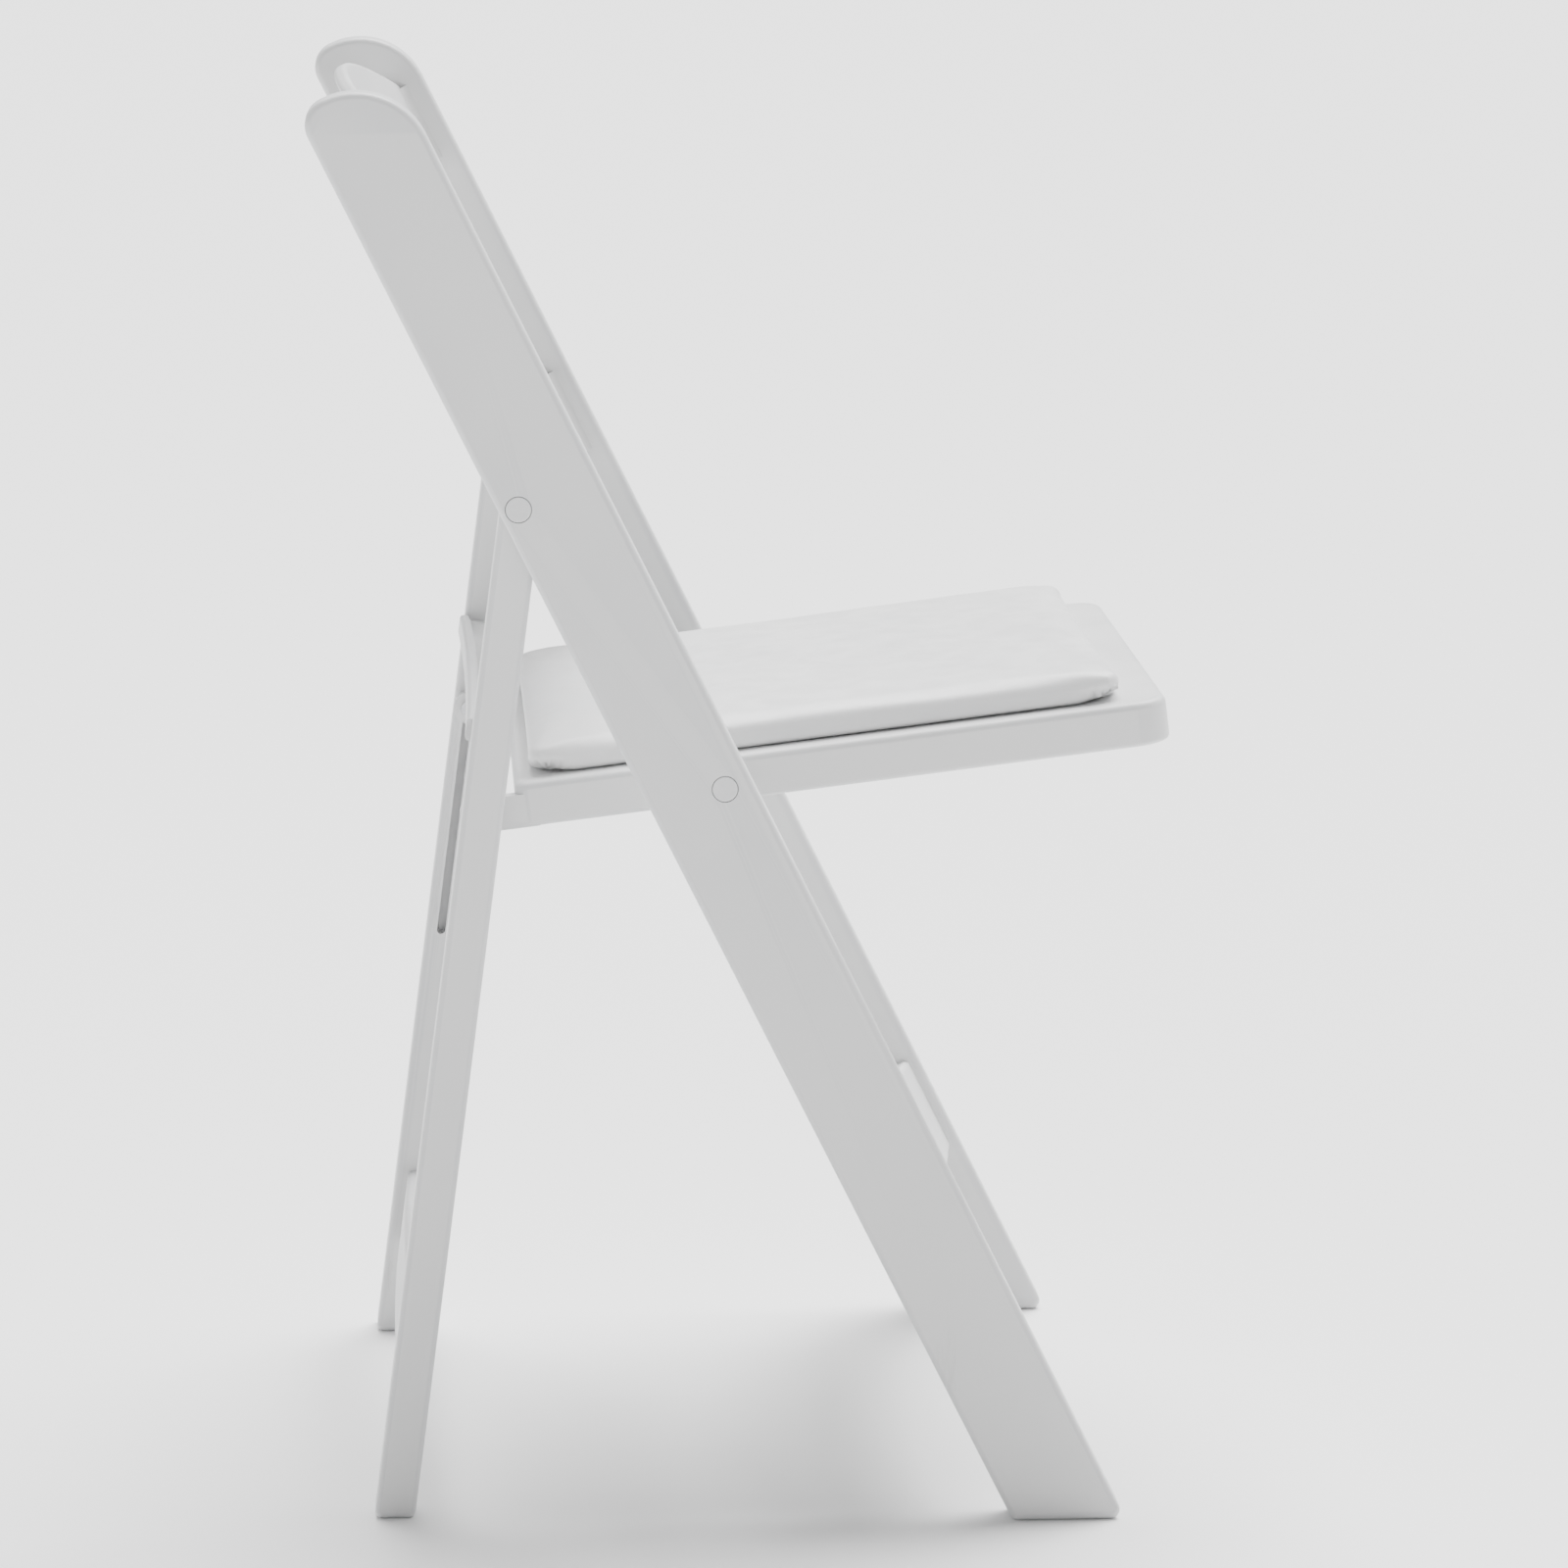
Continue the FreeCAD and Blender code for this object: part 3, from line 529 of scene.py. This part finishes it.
def make_pad():
    """The vinyl-covered seat pad, made in the seat's own frame and laid on the tray."""
    low, high = seat_box("pad_cover")
    pad = new_piece("seat_cushion", pad_start(low, high))
    remesh(pad)
    inflate(pad, low.z)
    soften(pad)
    shape_pad(pad, low, high)
    pad.data.transform(SEAT_TO_MODEL)
    for polygon in pad.data.polygons:
        polygon.use_smooth = True
    pad.data.materials.append(MATERIALS["white_vinyl"])
    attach(pad, "seat")
    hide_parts("pad_cover", "pad_foam", "pad_board")


# The studio.
def make_camera():
    """The camera of the main view."""
    data = bpy.data.cameras.new("camera")
    data.lens = CAMERA_LENS
    data.sensor_width = SENSOR_WIDTH
    camera = new_piece("camera", data)
    camera.location = CAMERA_PLACE
    turned_towards(camera, Vector((math.cos(CAMERA_DOWN) * math.cos(CAMERA_YAW),
                                   math.cos(CAMERA_DOWN) * math.sin(CAMERA_YAW),
                                   -math.sin(CAMERA_DOWN))))
    bpy.context.scene.camera = camera


def make_panel(name, place, target, size, watts):
    """A round soft light at a place, turned to a target."""
    data = bpy.data.lights.new(name, "AREA")
    data.shape = "DISK"
    data.size = size
    data.energy = watts
    panel = new_piece(name, data)
    panel.location = place
    turned_towards(panel, Vector(target) - Vector(place))


def make_floor():
    """A pale matt floor."""
    mesh = bpy.data.meshes.new("floor")
    mesh.from_pydata([(-FLOOR_HALF, -FLOOR_HALF, 0), (FLOOR_HALF, -FLOOR_HALF, 0),
                      (FLOOR_HALF, FLOOR_HALF, 0), (-FLOOR_HALF, FLOOR_HALF, 0)],
                     [], [(0, 1, 2, 3)])
    floor = new_piece("floor", mesh)
    n = Nodes("pale_floor")
    n.shader.inputs["Base Color"].default_value = FLOOR_COLOUR
    n.shader.inputs["Roughness"].default_value = FLOOR_ROUGHNESS
    floor.data.materials.append(n.material)


def make_light():
    """The surround, the soft sun and the two panels."""
    world = bpy.data.worlds.new("surround")
    world.use_nodes = True
    background = world.node_tree.nodes["Background"]
    background.inputs["Color"].default_value = (1, 1, 1, 1)
    background.inputs["Strength"].default_value = SURROUND
    bpy.context.scene.world = world
    data = bpy.data.lights.new("sky_sun", "SUN")
    data.energy = SUN_STRENGTH
    data.angle = SUN_SPREAD
    turned_towards(new_piece("sky_sun", data), -Vector(SUN_FROM))
    make_panel("front", **FRONT_PANEL)
    make_panel("rear_rim", **REAR_PANEL)


finish_cad_nodes()
make_pad()
make_camera()
make_floor()
make_light()
